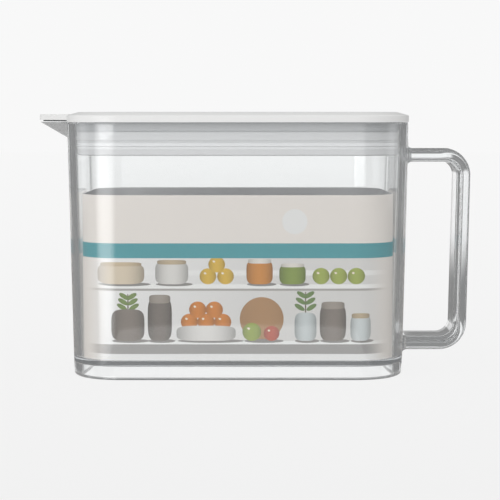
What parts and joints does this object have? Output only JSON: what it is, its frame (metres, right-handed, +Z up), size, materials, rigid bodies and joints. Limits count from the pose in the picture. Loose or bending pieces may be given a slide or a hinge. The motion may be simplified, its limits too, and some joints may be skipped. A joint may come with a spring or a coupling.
{
  "type": "water pitcher",
  "caption": "Low clear water pitcher for a fridge shelf, with a beak spout, loop handle, white lift-off lid, flip-up spout cap and paper sleeve inside.",
  "frame": {"origin": "on the surface that the jug stands on, under the middle of the whole pitcher's box", "axes": "+Z up, +X towards the handle with the spout at -X, Y across the jug, which is the same on both sides"},
  "size_m": [0.2037, 0.0904, 0.122],
  "materials": {
    "clear_plastic": "clear, polished",
    "white_plastic": "white, satin moulded",
    "silicone": "milky, matte",
    "printed_paper": "matte printed board"
  },
  "bodies": {
    "jug": {"jug_body": "clear_plastic", "handle": "clear_plastic", "insert_card": "printed_paper"},
    "lid": {"lid_cover": "white_plastic", "lid_plug": "white_plastic", "lid_gasket": "silicone"},
    "spout_flap": {"spout_cap": "white_plastic", "spout_cap_seal": "silicone"}
  },
  "joints": [
    {"name": "lid_lift", "type": "slide", "parent": "jug", "child": "lid", "axis": [0, 0, 1], "range_m": [0, 0.12]},
    {"name": "spout_cap_hinge", "type": "hinge", "parent": "lid", "child": "spout_flap", "pos_m": [-0.07225, 0, 0.1196], "axis": [0, 1, 0], "range_deg": [0, 95]}
  ]
}
